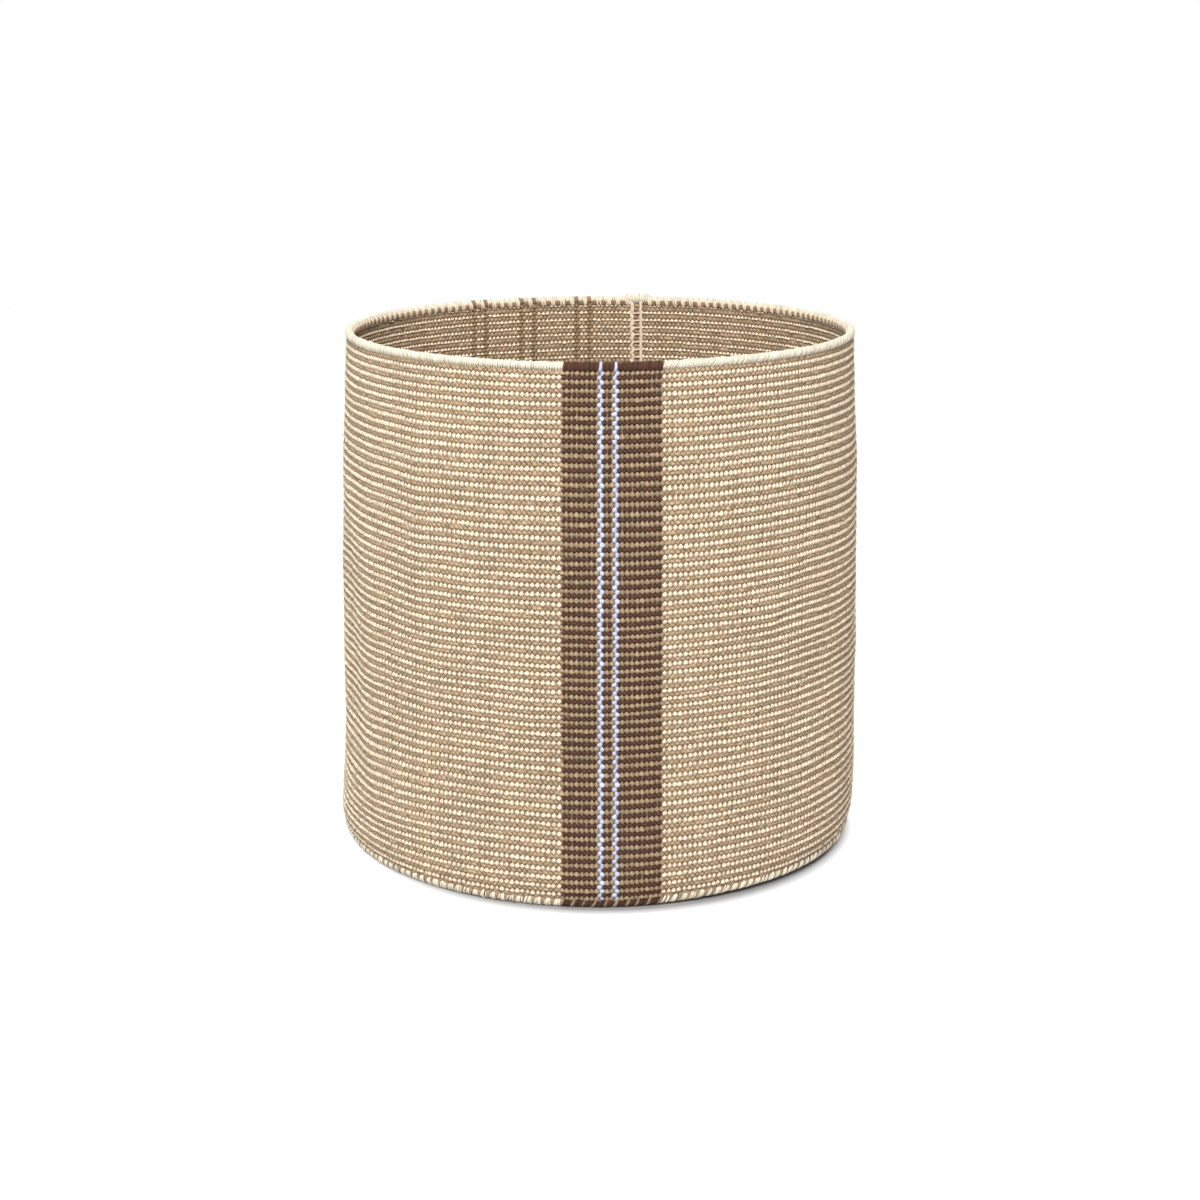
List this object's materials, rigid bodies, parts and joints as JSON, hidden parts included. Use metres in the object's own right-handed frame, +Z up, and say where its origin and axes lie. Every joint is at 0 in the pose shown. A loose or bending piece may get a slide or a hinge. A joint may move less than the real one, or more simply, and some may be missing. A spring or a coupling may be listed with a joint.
{
  "type": "woven storage basket",
  "caption": "Round open storage basket of flat-woven striped cloth, with wrapped rim and foot edges, a woven base and a laced back seam.",
  "frame": {"origin": "on the floor, under the middle of the base", "axes": "+Z up along the basket's axis, -Y towards the front with the dark stripe, +X to the viewer's right from the front"},
  "size_m": [0.3488, 0.3489, 0.3398],
  "materials": {
    "natural_cloth": "matt flat-woven cloth, rows of cream and tan beads",
    "stripe_cloth": "matt flat-woven cloth, rows of dark brown and tan beads",
    "pale_yarn": "matt pale blue-white cotton yarn",
    "tan_yarn": "matt tan yarn",
    "cream_yarn": "matt cream cotton yarn",
    "dark_yarn": "matt dark brown yarn",
    "edge_cord": "undyed twisted cord"
  },
  "bodies": {
    "root": {"base_edge_cord": "edge_cord", "base_panel": "natural_cloth", "base_thread": "cream_yarn", "field_panel_1_to_2": "natural_cloth", "field_panel_2_to_3": "natural_cloth", "field_panel_back": "natural_cloth", "field_panel_left": "natural_cloth", "field_panel_right": "natural_cloth", "field_strip_1": "natural_cloth", "field_strip_2": "natural_cloth", "field_strip_3": "natural_cloth", "foot_cord": "edge_cord", "foot_roll_left": "cream_yarn", "foot_roll_right": "cream_yarn", "foot_roll_stripe": "dark_yarn", "pale_line_left": "pale_yarn", "pale_line_right": "pale_yarn", "rim_cord": "edge_cord", "rim_join": "cream_yarn", "rim_over_field_panel_1_to_2": "cream_yarn", "rim_over_field_panel_2_to_3": "cream_yarn", "rim_over_field_panel_back": "cream_yarn", "rim_over_field_panel_left": "cream_yarn", "rim_over_field_panel_right": "cream_yarn", "rim_over_field_strip_1": "cream_yarn", "rim_over_field_strip_2": "cream_yarn", "rim_over_field_strip_3": "cream_yarn", "rim_over_pale_line_left": "pale_yarn", "rim_over_pale_line_right": "pale_yarn", "rim_over_stripe_panel_centre": "dark_yarn", "rim_over_stripe_panel_left": "dark_yarn", "rim_over_stripe_panel_right": "dark_yarn", "rim_over_tan_line_1a": "tan_yarn", "rim_over_tan_line_1b": "tan_yarn", "rim_over_tan_line_2a": "tan_yarn", "rim_over_tan_line_2b": "tan_yarn", "rim_over_tan_line_3a": "tan_yarn", "rim_over_tan_line_3b": "tan_yarn", "seam_backing": "tan_yarn", "seam_edge_left": "cream_yarn", "seam_edge_right": "cream_yarn", "seam_lacing_inside": "cream_yarn", "seam_lacing_outside": "cream_yarn", "stripe_panel_centre": "stripe_cloth", "stripe_panel_left": "stripe_cloth", "stripe_panel_right": "stripe_cloth", "tan_line_1a": "tan_yarn", "tan_line_1b": "tan_yarn", "tan_line_2a": "tan_yarn", "tan_line_2b": "tan_yarn", "tan_line_3a": "tan_yarn", "tan_line_3b": "tan_yarn"}
  },
  "joints": []
}
